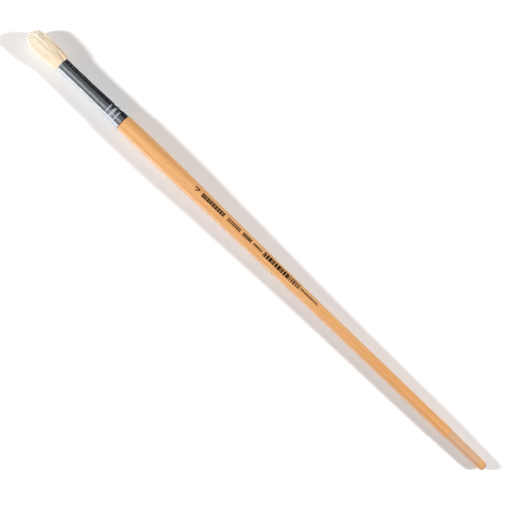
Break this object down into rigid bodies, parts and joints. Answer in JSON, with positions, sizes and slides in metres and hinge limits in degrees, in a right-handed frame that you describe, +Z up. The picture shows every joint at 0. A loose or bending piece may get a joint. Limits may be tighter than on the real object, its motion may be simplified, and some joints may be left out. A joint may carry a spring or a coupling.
{
  "type": "round stencil brush",
  "caption": "Long-handled round stencil brush: turned wood handle, crimped nickel ferrule and a domed knot of stiff natural bristle that bends and presses in.",
  "frame": {"origin": "middle of the underside of the bounding box, with the brush lying level on its widest bristles", "axes": "+X along the brush from tail to bristle tip, +Z up, +Y completing the right-handed frame"},
  "size_m": [0.315, 0.0106, 0.0106],
  "materials": {
    "handle_wood": "clear lacquer, semi-gloss",
    "nickel": "bright nickel plate",
    "glue": "cured wood glue",
    "resin": "cast epoxy",
    "thread": "waxed thread",
    "bristle": "natural hog bristle"
  },
  "bodies": {
    "brush": {"handle": "handle_wood", "ferrule": "nickel", "tenon_glue": "glue", "root_resin": "resin", "binding_thread": "thread", "bristle_roots": "bristle"},
    "knot_neck": {"bristle_neck": "bristle"},
    "knot_waist": {"bristle_waist": "bristle"},
    "knot_dome": {"bristle_dome": "bristle"}
  },
  "joints": [
    {"name": "bend_up_down", "type": "hinge", "parent": "brush", "child": "knot_neck", "pos_m": [0.1346, 0, 0.0053], "axis": [0, 1, 0], "range_deg": [-28, 28], "stiffness_Nm_per_rad": 0.05, "deforming": ["bristle_neck"]},
    {"name": "bend_sideways", "type": "hinge", "parent": "knot_neck", "child": "knot_waist", "pos_m": [0.1421, 0, 0.0053], "axis": [0, 0, 1], "range_deg": [-28, 28], "stiffness_Nm_per_rad": 0.04, "deforming": ["bristle_waist"]},
    {"name": "press_in", "type": "slide", "parent": "knot_waist", "child": "knot_dome", "axis": [-1, 0, 0], "range_m": [0, 0.003], "stiffness_N_per_m": 2500, "deforming": ["bristle_dome"]}
  ]
}
